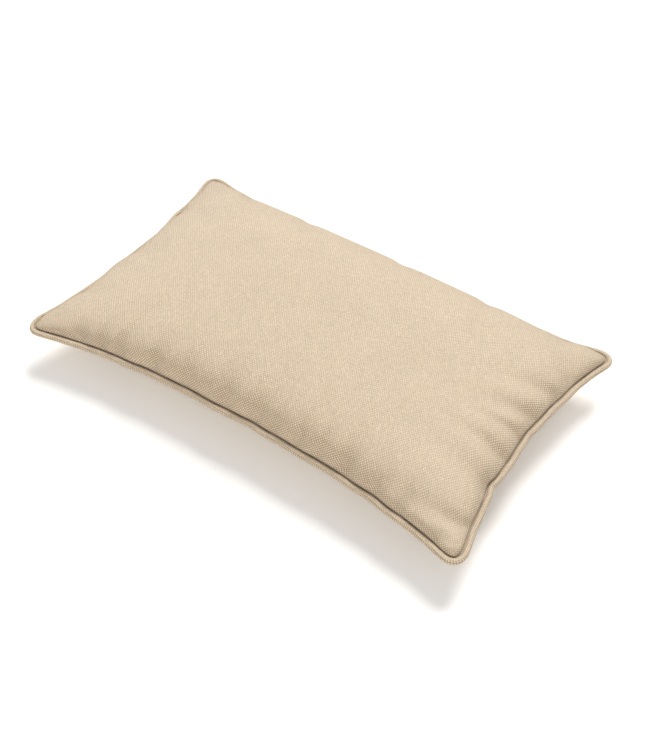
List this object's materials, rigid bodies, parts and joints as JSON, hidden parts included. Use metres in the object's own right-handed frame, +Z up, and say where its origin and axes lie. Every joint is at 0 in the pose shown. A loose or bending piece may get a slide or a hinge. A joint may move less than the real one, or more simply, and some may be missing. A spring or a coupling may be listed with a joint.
{
  "type": "lumbar support cushion",
  "caption": "Rectangular piped lumbar cushion in coarse woven fabric, with a zipped removable cover over a fibre-filled insert.",
  "frame": {"origin": "on the floor under the middle of the cushion's outline, at the centre of its flattened underside", "axes": "+X along the length, +Y towards the rear long edge that holds the zip, +Z up through the crown"},
  "size_m": [0.5, 0.3, 0.083],
  "materials": {
    "woven_cover": "matte",
    "woven_piping": "matte",
    "piping_cord": "matte",
    "ticking": "matte",
    "fibre_fill": "matte",
    "zip_tape": "matte",
    "zip_coil": "satin",
    "zip_metal": "satin"
  },
  "bodies": {
    "cushion": {"cover_top_panel": "woven_cover", "cover_bottom_panel": "woven_cover", "piping_wrap": "woven_piping", "piping_cord": "piping_cord", "insert_top_panel": "ticking", "insert_bottom_panel": "ticking", "fibre_fill": "fibre_fill", "zip_tape_upper": "zip_tape", "zip_tape_lower": "zip_tape", "zip_coil_upper": "zip_coil", "zip_coil_lower": "zip_coil", "zip_top_stop_upper": "zip_metal", "zip_top_stop_lower": "zip_metal", "zip_bottom_stop": "zip_metal"},
    "slider": {"zip_slider": "zip_metal"},
    "pull_link": {"zip_pull_link": "zip_metal"},
    "pull_tab": {"zip_pull_tab": "zip_metal"}
  },
  "joints": [
    {"name": "zip_slide", "type": "slide", "parent": "cushion", "child": "slider", "axis": [1, 0, 0], "range_m": [0, 0.286]},
    {"name": "pull_link_swing", "type": "hinge", "parent": "slider", "child": "pull_link", "pos_m": [-0.143, 0.13312, 0.031], "axis": [1, 0, 0], "range_deg": [0, 120]},
    {"name": "pull_tab_swing", "type": "hinge", "parent": "pull_link", "child": "pull_tab", "pos_m": [-0.143, 0.13312, 0.02305], "axis": [0, 1, 0], "range_deg": [-70, 70]}
  ]
}
